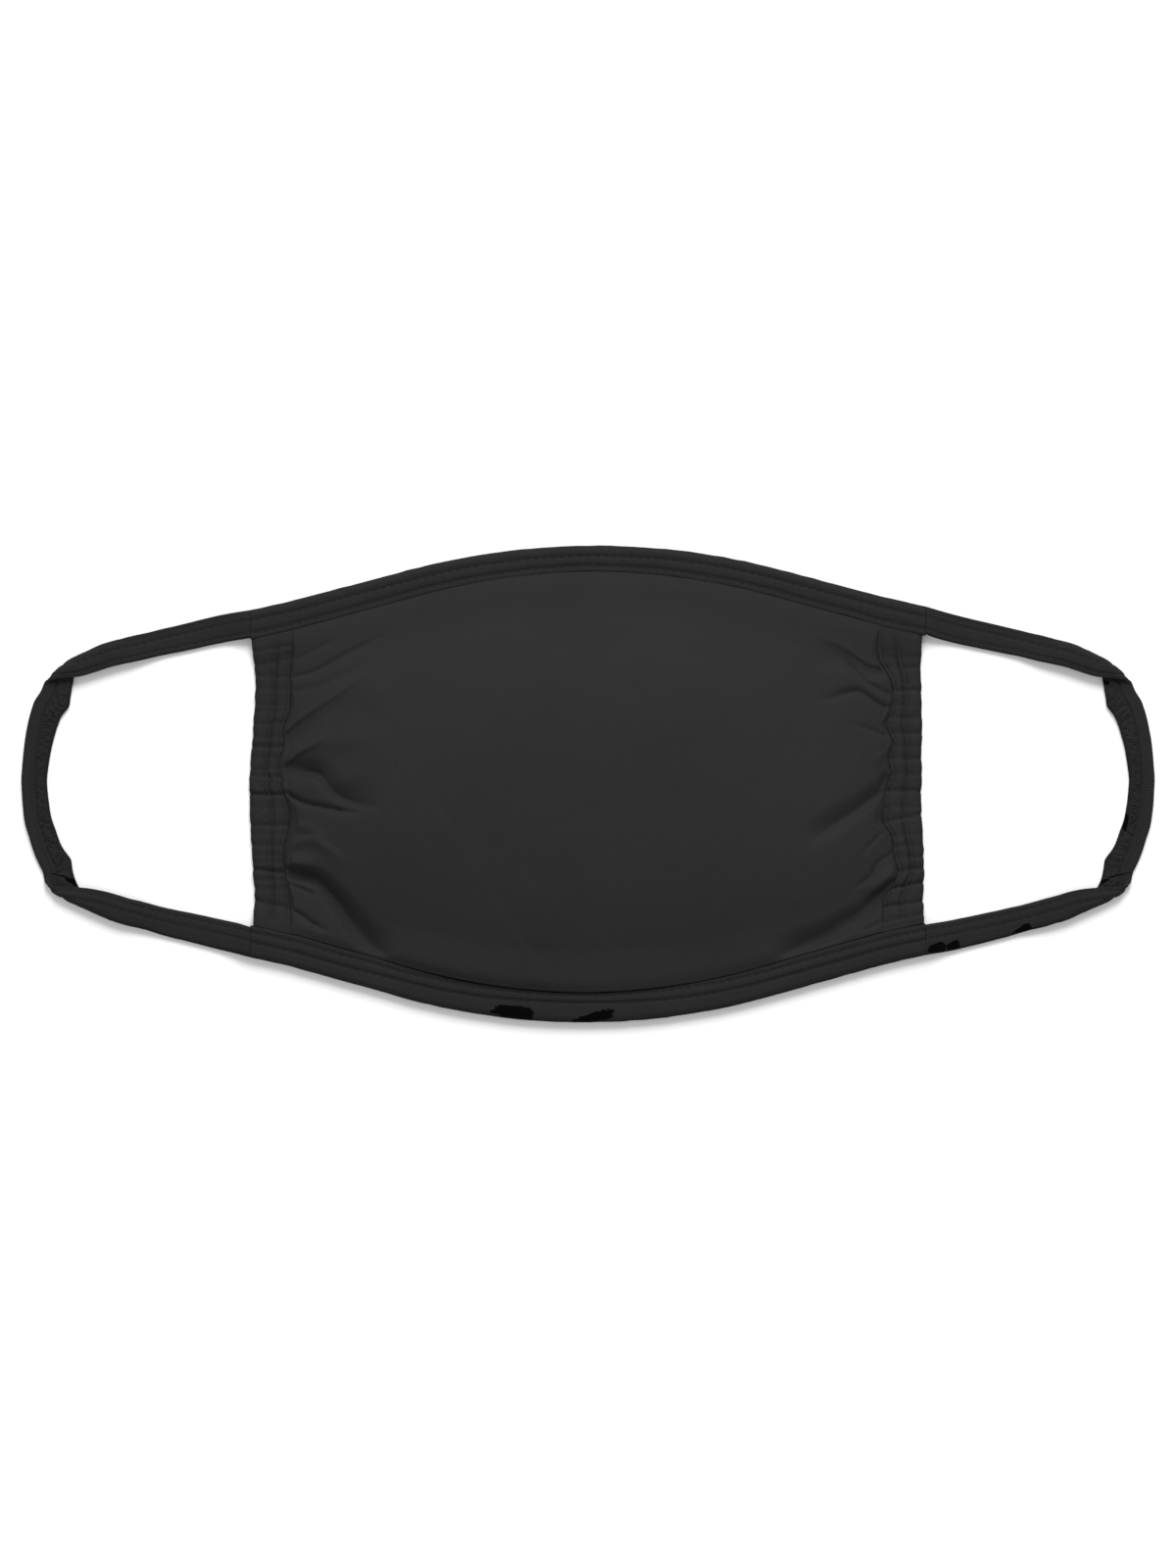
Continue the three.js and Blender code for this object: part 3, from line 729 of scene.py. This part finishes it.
# height up the hem, then how far out the inner row, the outer row and the edge lie
leftHemRows = [
    (54, 91.5, 96.2, 104.4), (40, 91.8, 96.4, 103.9), (33.5, 92.4, 96.9, 103.2), (22, 92.7, 97.4, 103.5),
    (16.6, 94.6, 98.2, 103.8), (11.4, 94.6, 98.8, 104.2), (7, 95.7, 99.4, 104.6), (3, 95.6, 99.5, 104.9),
    (1, 95.0, 98.6, 105), (-1, 95.2, 99.2, 105), (-3.6, 94.2, 98.4, 105), (-9, 92.7, 97.8, 104.8),
    (-16, 93.4, 97.9, 104.5), (-20, 94.3, 98.1, 104.2), (-27, 94.2, 98.1, 104.0), (-32, 93.2, 97.8, 103.4),
    (-40, 92.3, 97.8, 103.5), (-54, 92, 97.3, 104.3),
]
rightHemRows = [
    (54, 90.9, 96, 103.8), (37, 91, 96.2, 103.2), (34, 93.0, 97.2, 103.2), (28, 94.6, 97.8, 103.4),
    (22, 93.6, 97.8, 103.5), (18, 92.4, 97.4, 103.5), (13, 94.6, 98.3, 103.5), (8, 93.2, 98.4, 103.4),
    (2, 94.0, 98.8, 103.4), (-2, 92.2, 98, 103.3), (-8, 91.8, 97.6, 103.4), (-12, 91.6, 97.6, 103.6),
    (-16, 94, 98.3, 103.8), (-22, 94.8, 99.6, 104.1), (-28, 96, 99.8, 104.2), (-31, 95, 98.6, 104.1),
    (-36, 91.8, 97, 103.9), (-42, 91.4, 97, 104.1), (-54, 91, 97, 104.2),
]
# pleats across the hem: height at its inner and outer end, depth, width
leftPleats = [
    (32.8, 33.5, 0.35, 0.8), (29.4, 29.4, 0.2, 0.9), (24.5, 24.5, 0.25, 0.9), (22.5, 22.5, 0.2, 0.8),
    (18.7, 18.4, 0.35, 0.8), (14.5, 14.5, 0.2, 0.8), (11.4, 11.4, 0.6, 0.7), (8, 8, 0.2, 0.8),
    (4.5, 4.5, 0.25, 0.8), (2.0, 2.4, 0.4, 0.8), (-3.6, -3.3, 0.95, 0.7), (-7.2, -7.2, 0.2, 0.9),
    (-13.1, -13.1, 0.5, 0.8),
    (-15.9, -15.9, 0.2, 0.8), (-19.3, -19.3, 0.4, 0.8), (-22.4, -22.4, 0.2, 0.8), (-24.5, -24.5, 0.2, 0.8),
    (-27.7, -26.8, 0.85, 0.7), (-30, -30, 0.25, 0.8), (-32.8, -32.8, 0.25, 0.8), (-39.3, -36.4, 0.65, 0.8),
    (-42.4, -42, 0.3, 0.8), (38.5, 36.5, 0.3, 0.8), (43, 41, 0.35, 0.8),
]
rightPleats = [
    (39, 39, 0.2, 0.8), (35.9, 35.9, 0.3, 0.8), (28.7, 28.7, 0.5, 0.8), (24.5, 24.5, 0.2, 0.8),
    (20.4, 20.4, 0.4, 0.8), (15.6, 15.6, 0.45, 0.8), (11.5, 11.5, 0.2, 0.8), (7.6, 7.6, 0.45, 0.8),
    (2.8, 2.8, 0.25, 0.8), (-2.4, -2.4, 0.6, 0.8), (-7.2, -7.2, 0.25, 0.8), (-12.4, -9.7, 0.5, 0.8),
    (-16.2, -15.6, 0.3, 0.8), (-19.7, -19.2, 0.3, 0.8),
    (-23.1, -22.6, 0.35, 0.8), (-27.5, -26.2, 0.6, 0.8), (-32.6, -30.8, 0.85, 0.7), (-38.7, -36.5, 0.85, 0.7),
    (-43.3, -40.6, 0.7, 0.7),
]
hemSpec = {
    "rows": 400, "across": 56, "cloth": 2.4, "channelCloth": 1.6, "thread": 0.17,
    "stitchPitch": 2.6, "stitchLength": 1.8, "unsewnRows": 36,
}


# distance of a binding's raw inner edge from the X axis
def lipY(edge, x):
    return edgeY(edge, x) - flapWidth(edge, x) / np.cos(edgeLean(edge, x)) - 0.6


def pleatDip(pleats, y, across):
    dip = 0
    for inner, outer, depth, width in pleats:
        centre = mix(inner, outer, across)
        away = y - centre
        flank = width * np.where(away > 0, 1.5, 0.75)  # gentle above, steep below
        dip = dip + depth * np.exp(-((away / flank) ** 2))
    return dip


def makeHem(name, side, rows, pleats, seed):
    spec = hemSpec
    share = np.linspace(-1, 1, spec["rows"])[:, None]
    middleX = side * 98
    upEnd = edgeY(noseEdge, middleX) - 2.6
    downEnd = edgeY(chinEdge, middleX) - 2.6
    y = np.where(share > 0, share * upEnd, share * downEnd)
    inner, outer, edge = (readTable(rows, k, y) for k in (1, 2, 3))
    inner = inner - 0.1  # tucked a little into the panel
    shares, sides, bulge = stripSection(spec["across"])
    s = shares[None]
    x = mix(inner, edge, s) + bulge[None] * 0.35 * np.where(s > 0.5, 1, 0.1)
    lip = np.where(y > 0, lipY(noseEdge, side * x), lipY(chinEdge, side * x))
    limit = np.where(y > 0, edgeY(noseEdge, side * x), edgeY(chinEdge, side * x)) - 2.5
    y = np.clip(y + 0 * x, -limit, limit)
    inside = lip - np.abs(y)
    free = ease(-1, 6, inside)
    cloth = mix(spec["channelCloth"], spec["cloth"], free)
    bottom = mix(body["bindingHeight"] / 2 - spec["channelCloth"] / 2, 0.1, free)
    top = bottom + cloth
    innerRoll = np.sin(math.pi * np.clip((x - inner) / (outer - inner), 0, 1)) ** 0.6
    outerRoll = np.sin(math.pi * np.clip((x - outer) / (edge - outer), 0, 1) ** 0.9) ** 0.6
    pleatPlace = y + 0.25 * softNoise(x, y, 2.2, seed)
    dip = pleatDip(pleats, pleatPlace, np.clip((x - inner) / (edge - inner), 0, 1))
    cornerFill = 0.4 * (1 - ease(4, 14, inside))
    rolls = np.where(x < outer, 0.7 * innerRoll, 0.6 * outerRoll) - 0.4 + cornerFill
    rolls = rolls - seamGroove(x - outer, 0.45, 0.22)
    # each seam has a raised lip and a fainter line beside it
    for row in (inner, outer):
        rolls = rolls + seamGroove(x - row - 0.75, 0.32, 0.2) - seamGroove(x - row - 1.45, 0.32, 0.28)
    fine = 0.08 * softNoise(x, y, 1.3, seed + 1) + 0.1 * softNoise(x, y, 3.1, seed + 2)
    flush = 1.1 * ease(-0.62, -0.1, inside) * (1 - ease(1.5, 9, inside))
    front = top + flush + free * (rolls - dip * 0.95 + fine)
    back = bottom + free * (0.2 * dip + 0.05)
    onFront, onBack = sides[None] > 0.99, sides[None] < -0.99
    rounding = 0.5 * (1 - ease(0, 1.3, edge - x)) * (onFront | onBack)
    edgeWall = mix(back, front, 0.5 + 0.4 * sides[None])
    z = np.where(onFront, front - rounding, np.where(onBack, back + rounding * 0.8, edgeWall))
    outerPart = ease(outer, edge, x)
    x = x - 0.35 * dip * outerPart * free + 0.15 * lineNoise(y, 2.5, seed + 3) * outerPart
    rings = np.stack([side * x, y, np.maximum(z, 0.05)], -1)
    uv = np.stack([x, y], -1)
    obj = sweptRings(name, rings, uv, hemKnit)
    # the ends of both rows are under the bindings
    sewnRows = slice(spec["unsewnRows"], spec["rows"] - spec["unsewnRows"])
    threads = []
    for row in (outer, inner + 0.32):
        line, normals = lineOnSection(rings, x[:, :spec["across"]], row[:, 0])
        sewnRow = facedUp(line[sewnRows], normals[sewnRows], True)
        threads += stitchRun(*sewnRow, spec["stitchPitch"], spec["stitchLength"], 0.14, 0.05)
    sewn = threadMesh(name + "Stitching", threads, spec["thread"], sewingThread)
    return obj, sewn


hems = {
    "sideHemLeft": makeHem("sideHemLeft", -1, leftHemRows, leftPleats, 51),
    "sideHemRight": makeHem("sideHemRight", 1, rightHemRows, rightPleats, 61),
}
print("hems made")


# ---- panel

# valleys in the panel's cloth, and ridges where the depth is negative: the line of each from the
# hem inward, its depth, how wide its upper and lower flanks are at the hem and at the far end,
# and how sharp its floor is. A drop is a step down on the lower side
panelFolds = [
    # narrow creases along the floors of the three widest valleys
    {"line": [(98, -30.5), (94.5, -32), (91.5, -34), (88.5, -37.5), (85, -40.5)],
     "depth": 2.6, "above": (1.5, 2.0), "below": (1.1, 1.2), "crisp": 0.7},
    {"line": [(-95, -27.5), (-91.5, -28), (-88, -29), (-84.5, -30), (-81.5, -33)],
     "depth": 2.4, "above": (1.5, 2.0), "below": (1.0, 1.2), "crisp": 0.7},
    {"line": [(-96, 3.5), (-92, 3.5), (-88, 3.5), (-84, 3), (-81.5, 1)],
     "depth": 1.4, "above": (1.4, 2.0), "below": (1.0, 1.2), "crisp": 0.7},
    # left side, from the nose down
    {"line": [(-92, 38.5), (-89, 39.5), (-82, 43), (-76.5, 46)],
     "depth": 0.6, "above": (1.5, 1.5), "below": (1.2, 1.5), "crisp": 0.8},
    {"line": [(-93, 32.5), (-90, 33.5), (-84.5, 35), (-78, 38.5), (-69.5, 43), (-60.5, 47.5)],
     "depth": 1.2, "above": (1.5, 2), "below": (1.2, 2), "crisp": 0.8},
    {"line": [(-92.5, 28.5), (-82.5, 30.5), (-76.5, 33.5), (-66.5, 37.5)],
     "depth": 0.6, "above": (2, 2.5), "below": (2, 2.5), "crisp": 0.2},
    {"line": [(-94.5, 15.5), (-93.5, 16.5), (-89.5, 20), (-84.5, 23.5), (-78, 27.5),
              (-72, 32), (-66.5, 35)],
     "depth": 1.7, "above": (1.2, 2.2), "below": (3, 9), "drop": 1},
    {"line": [(-95, 5.5), (-94, 6), (-90, 9.5), (-85.5, 12), (-82, 14.5), (-79.5, 17.5), (-78, 19.5)],
     "depth": 1.9, "above": (1.2, 2.5), "below": (3, 8), "drop": 1},
    {"line": [(-96, 3.5), (-94, 3.5), (-88, 3.5), (-84, 3), (-81, 0), (-79, -2.5),
              (-75, -5), (-69.5, -6.5), (-62, -7.5)],
     "depth": 4.1, "above": (3.6, 11), "below": (1.5, 2.6), "crisp": 0.6},
    {"line": [(-95.5, -2.5), (-93.5, -3), (-90, -5), (-85.5, -6.5), (-80, -7.5),
              (-74.5, -8.5), (-66, -9)],
     "depth": 2.4, "above": (1.7, 2.0), "below": (1.3, 2.5), "crisp": 0.9},
    {"line": [(-92.5, -13.5), (-89, -13), (-84.5, -15), (-80.5, -19)],
     "depth": -0.7, "above": (2.5, 3), "below": (2.2, 2.5), "crisp": 0},
    {"line": [(-92.5, -19), (-86.5, -17), (-82.5, -18.5), (-78, -21.5), (-73, -26)],
     "depth": -1.0, "above": (1.8, 2), "below": (3.2, 4), "crisp": 0.2},
    {"line": [(-95, -27), (-92.5, -28), (-89, -28.5), (-84.5, -30), (-82, -32),
              (-79, -35.5), (-75.5, -40.5), (-71.5, -46), (-67.5, -50), (-60, -54.5)],
     "depth": 5.8, "above": (3.4, 9.0), "below": (2.2, 5), "crisp": 0.6, "fade": 0.75},
    {"line": [(-94, -31), (-92.5, -31.5), (-89, -32.5), (-85.5, -34), (-82.5, -34)],
     "depth": 1.4, "above": (1.5, 1.5), "below": (1.2, 1.5), "crisp": 0.9},
    {"line": [(-94, -38.5), (-92.5, -39.5), (-89.5, -40.5), (-86, -43), (-82.5, -45), (-78.5, -45.5)],
     "depth": 2.0, "above": (1.8, 2.2), "below": (1.1, 1.4), "crisp": 0.9},
    # right side, from the nose down
    {"line": [(94, 36), (88, 37), (84.5, 39), (80, 42), (74.5, 44.5), (69, 46)],
     "depth": 1.2, "above": (1.1, 1.8), "below": (1.5, 5), "drop": 1},
    {"line": [(94.5, 27.5), (92.5, 28.5), (87.5, 31), (83.5, 34.5), (80.5, 37.5), (77, 41.5)],
     "depth": 1.2, "above": (1.2, 1.6), "below": (1.6, 3), "crisp": 0.8},
    {"line": [(94, 23.5), (91.5, 24), (87.5, 26.5), (84, 28.5), (80, 28), (75.5, 26.5), (70, 25.5)],
     "depth": 2.1, "above": (1.8, 3.5), "below": (1.3, 2), "crisp": 0.7},
    {"line": [(93.5, 15), (91, 15.5), (86, 17.5), (79.5, 19)],
     "depth": 0.8, "above": (1.2, 1.5), "below": (1.4, 2), "crisp": 0.8},
    {"line": [(94, 8), (88.5, 8.5)],
     "depth": -1.0, "above": (1.8, 2), "below": (3, 3), "crisp": 0},
    {"line": [(95, 0.5), (93, 0), (91.5, -2.5), (89, -4), (83.5, -8), (78, -11.5),
              (71, -16), (64.5, -18.5)],
     "depth": 3.2, "above": (4.2, 7.5), "below": (2.2, 5), "crisp": 0.4},
    {"line": [(93, -13.5), (91, -15.5), (87.5, -19), (84, -23)],
     "depth": 0.8, "above": (1.2, 1.2), "below": (1.2, 1.2), "crisp": 0.8},
    {"line": [(95, -21), (93, -22.5), (90, -24.5), (87, -29.5), (80.5, -33)],
     "depth": 1.0, "above": (1.3, 1.8), "below": (1.3, 1.5), "crisp": 0.8},
    {"line": [(98.5, -31.5), (95, -32.5), (91.5, -35), (89, -38), (84.5, -41.5),
              (80, -44), (74.5, -47.5), (67.5, -50.5), (57, -55)],
     "depth": 5.6, "above": (3.6, 8.5), "below": (2.2, 5), "crisp": 0.6, "fade": 0.75},
    # cloth heaped above the lowest wide valley of each side
    {"line": [(97, -26.5), (93.5, -29), (90, -32), (86, -35.5)],
     "depth": -2.6, "above": (4, 5), "below": (2.6, 3), "crisp": 0},
    {"line": [(-96, -24), (-92, -24.5), (-88, -25), (-84, -27)],
     "depth": -2.0, "above": (4, 5), "below": (2.6, 3), "crisp": 0},
    # crease in the right chin corner
    {"line": [(93.5, -41), (89, -44), (83, -46.5)],
     "depth": 1.3, "above": (1.4, 1.4), "below": (1.1, 1.2), "crisp": 0.9},
]
panelSpec = {
    "columns": 250, "rows": 190, "cloth": 1.6, "crown": 12.0, "crownShift": -0.03, "crownPower": 2.2,
    "foldStrength": 0.8, "lowest": 1.15, "blurs": 6,
    # rows of the grid beside each binding's raw edge
    "lipRows": [-0.6, -0.5, -0.35, -0.2, -0.05, 0.1, 0.25, 0.4, 0.6, 0.85, 1.15, 1.5, 2.0, 2.6, 3.3, 4.1],
}


# distance from a fold's line, positive on its upper side, and the share of the way along it
def fromLine(x, y, line):
    route = smoothLine(line, 1.2)
    best, along = np.full(x.shape, 1e9), np.zeros(x.shape)
    run = np.linalg.norm(np.diff(route, axis=0), axis=1)
    total = run.sum()
    passed = 0.0
    facing = np.sign(route[-1, 0] - route[0, 0])
    for a, b, length in zip(route[:-1], route[1:], run):
        d = (b - a) / length
        t = np.clip((x - a[0]) * d[0] + (y - a[1]) * d[1], 0, length)
        ox, oy = x - a[0] - t * d[0], y - a[1] - t * d[1]
        away = np.hypot(ox, oy)
        closer = away < np.abs(best)
        sign = np.where(d[0] * oy - d[1] * ox > 0, 1, -1) * facing
        best = np.where(closer, away * sign, best)
        along = np.where(closer, (passed + t) / total, along)
        passed += length
    return best, along


def foldHeight(x, y):
    height = np.zeros(x.shape)
    for fold in panelFolds:
        away, along = fromLine(x, y, fold["line"])
        wide = np.where(away > 0, mix(*fold["above"], along), mix(*fold["below"], along))
        t = np.abs(away) / wide
        if "drop" in fold:
            step = (1 - np.exp(-3.5 * t)) * (1 - ease(1, 2.6, t))
            floor = np.where(away > 0, -0.22 * np.exp(-1.5 * t), mix(-0.22, 1, step))
        else:
            floor = mix(1 - ease(0, 1, t), np.exp(-2.2 * t), fold["crisp"])
        fade = 1 - ease(fold.get("fade", 0.6), 1.02, along)
        height -= panelSpec["foldStrength"] * fold["depth"] * floor * fade
    return height


def panelHeight(x, y):
    upper = y > 0
    lip = np.where(upper, lipY(noseEdge, x), lipY(chinEdge, x))
    inside = lip - np.abs(y)
    free = ease(0, 8, inside)
    rest = mix(body["bindingHeight"] / 2, 1.3, free)
    level = np.clip(y / lip, -1, 1)
    shifted = level - panelSpec["crownShift"] * (1 - level**2)
    domed = np.clip(1 - np.abs(shifted) ** panelSpec["crownPower"], 0, 1)
    side = np.clip(1 - np.clip(np.abs(x) / (body["seamX"] + 3), 0, 1) ** 3, 0, 1) ** 0.8
    overhang = (1 - upper) * ease(-70, -40, x) * (1 - ease(10, 48, x))
    rise = ease(np.where(upper, -0.62, mix(-0.6, -0.25, overhang)), np.where(upper, -0.1, 0.25), inside)
    flush = mix(1.2, 1.8, overhang) * rise * (1 - ease(3, 14, inside))
    ripple = 0.10 * softNoise(x, y, 9, 71) + 0.05 * softNoise(x, y, 4, 72)
    near = ease(0, 3, inside)
    z = rest + panelSpec["crown"] * domed * side + flush + near * (foldHeight(x, y) + ripple)
    low = panelSpec["lowest"]
    return low + np.logaddexp(0, (z - low) * 2.2) / 2.2


def makePanel():
    spec = panelSpec
    lipRows = spec["lipRows"]
    even = np.linspace(-1, 1, spec["rows"] - 2 * len(lipRows) - 4)[:, None]
    u = np.linspace(-1, 1, spec["columns"])[None]
    u = 1.3 * u - 0.3 * u**3  # closer columns beside the hems
    guess = u * body["seamX"]
    top, bottom = edgeY(noseEdge, guess) - 2.5, -(edgeY(chinEdge, guess) - 2.5)
    lipTop, lipBottom = lipY(noseEdge, guess), lipY(chinEdge, guess)
    reach = lipRows[-1] + 0.8
    rows = [bottom, mix(bottom, -lipBottom, 0.5)] + [-lipBottom + d for d in lipRows]
    rows += [e * np.where(e > 0, lipTop - reach, lipBottom - reach) for e in even]
    rows += [lipTop - d for d in lipRows[::-1]] + [mix(top, lipTop, 0.5), top]
    y = np.concatenate(rows, 0)
    left, right = -readTable(leftHemRows, 1, y), readTable(rightHemRows, 1, y)
    x = np.where(u < 0, -u * left, u * right)
    z = panelHeight(x, y)
    joint = np.minimum(x - left, right - x)
    inside = np.where(y > 0, lipTop, lipBottom) - np.abs(y)
    hemLevel = mix(3.1, 1.75, ease(2, 9, inside))  # the hem climbs onto the binding at its ends
    slope = hemLevel + 0.7 * ease(0, 1.1, joint) + np.maximum(0, joint - 0.8) * 1.1
    z = mix(z, np.minimum(z, slope), ease(0, 4, inside))
    z = z + ease(4, 16, inside) * (seamGroove(joint - 1.0, 0.4, 0.22) - seamGroove(joint - 1.9, 0.5, 0.15))
    front = np.stack([x, y, z + spec["cloth"] / 2], -1)
    blurred = z.copy()
    for _ in range(spec["blurs"]):
        p = np.pad(blurred, 1, mode="edge")
        blurred = (p[:-2, 1:-1] + p[2:, 1:-1] + p[1:-1, :-2] + p[1:-1, 2:] + 2 * blurred) / 6
    backZ = np.maximum(np.minimum(blurred, z) - spec["cloth"] / 2, 0.15)
    back = np.stack([x, y, backZ], -1)
    return gridShell("panelCloth", front, back, panelKnit)


# closed shell between a front grid and a back grid of the same size
def gridShell(name, front, back, material):
    rows, cols = front.shape[:2]
    points = np.concatenate([front.reshape(-1, 3), back.reshape(-1, 3)])
    i, j = np.meshgrid(np.arange(rows - 1), np.arange(cols - 1), indexing="ij")
    a = (i * cols + j).ravel()
    quads = np.stack([a, a + 1, a + cols + 1, a + cols], -1)
    count = rows * cols
    under = quads[:, ::-1] + count
    grid = np.arange(count).reshape(rows, cols)
    rim = [*grid[::-1, 0], *grid[0, 1:], *grid[1:, -1], *grid[-1, -2:0:-1]]
    rim = [int(n) for n in rim]
    rimFaces = [[a, a + count, b + count, b] for a, b in zip(rim, rim[1:] + rim[:1])]
    faces = quads.tolist() + under.tolist() + rimFaces
    uv = np.concatenate([front.reshape(-1, 3)[:, :2], back.reshape(-1, 3)[:, :2]]) * mm
    return meshObject(name, points, faces, uv, material)


panel = makePanel()
print("panel made")


# ---- tie the pieces to the frame

def settle(obj, node):
    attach(obj, "root")
    if node:
        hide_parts(node)


settle(panel, "panel")
nodeNames = {
    "sideHemLeft": "side_hem_left", "sideHemRight": "side_hem_right",
    "topBinding": "top_binding", "bottomBinding": "bottom_binding",
    "earLoopLeft": "ear_loop_left", "earLoopRight": "ear_loop_right",
}
for pieces, slot in ((hems, "hem_knit"), (bindings, "binding_rib"), (loops, "binding_rib")):
    for name, (obj, sewn) in pieces.items():
        settle(obj, nodeNames[name])
        settle(sewn, None)

# flat sizes are estimates: width across the strip and length along it
print("pieces tied to the frame")


# ---- room: pale floor and soft light

studio = {
    "floorSize": 4.0, "floorTone": 0.92, "worldTone": 1.0, "worldStrength": 0.57,
    "keyPlace": (0.12, 1.15, 1.05), "keyPower": 27, "keySize": 0.8,
    "fillPlace": (-0.5, -0.7, 1.5), "fillPower": 2.7, "fillSize": 1.2,
}


def makeStudio(spec):
    mesh = bpy.data.meshes.new("floor")
    s = spec["floorSize"] / 2
    mesh.from_pydata([(-s, -s, 0), (s, -s, 0), (s, s, 0), (-s, s, 0)], [], [(0, 1, 2, 3)])
    floor = bpy.data.objects.new("floor", mesh)
    bpy.context.scene.collection.objects.link(floor)
    paper = bpy.data.materials.new("palePaper")
    paper.use_nodes = True
    surface = paper.node_tree.nodes["Principled BSDF"]
    surface.inputs["Base Color"].default_value = (spec["floorTone"],) * 3 + (1,)
    surface.inputs["Roughness"].default_value = 0.9
    surface.inputs["Specular IOR Level"].default_value = 0.1
    mesh.materials.append(paper)
    for label in ("key", "fill"):
        place = spec[label + "Place"]
        data = bpy.data.lights.new(label + "Light", "AREA")
        data.energy = spec[label + "Power"]
        data.size = spec[label + "Size"]
        lamp = bpy.data.objects.new(label + "Light", data)
        lamp.location = place
        lamp.rotation_euler = (-Vector(place)).to_track_quat("-Z", "Y").to_euler()
        bpy.context.scene.collection.objects.link(lamp)
    world = bpy.data.worlds.new("softRoom")
    world.use_nodes = True
    backing = world.node_tree.nodes["Background"]
    backing.inputs["Color"].default_value = (spec["worldTone"],) * 3 + (1,)
    backing.inputs["Strength"].default_value = spec["worldStrength"]
    bpy.context.scene.world = world
    bpy.context.scene.view_settings.view_transform = "Standard"


makeStudio(studio)
print("studio made")

bpy.context.view_layer.update()
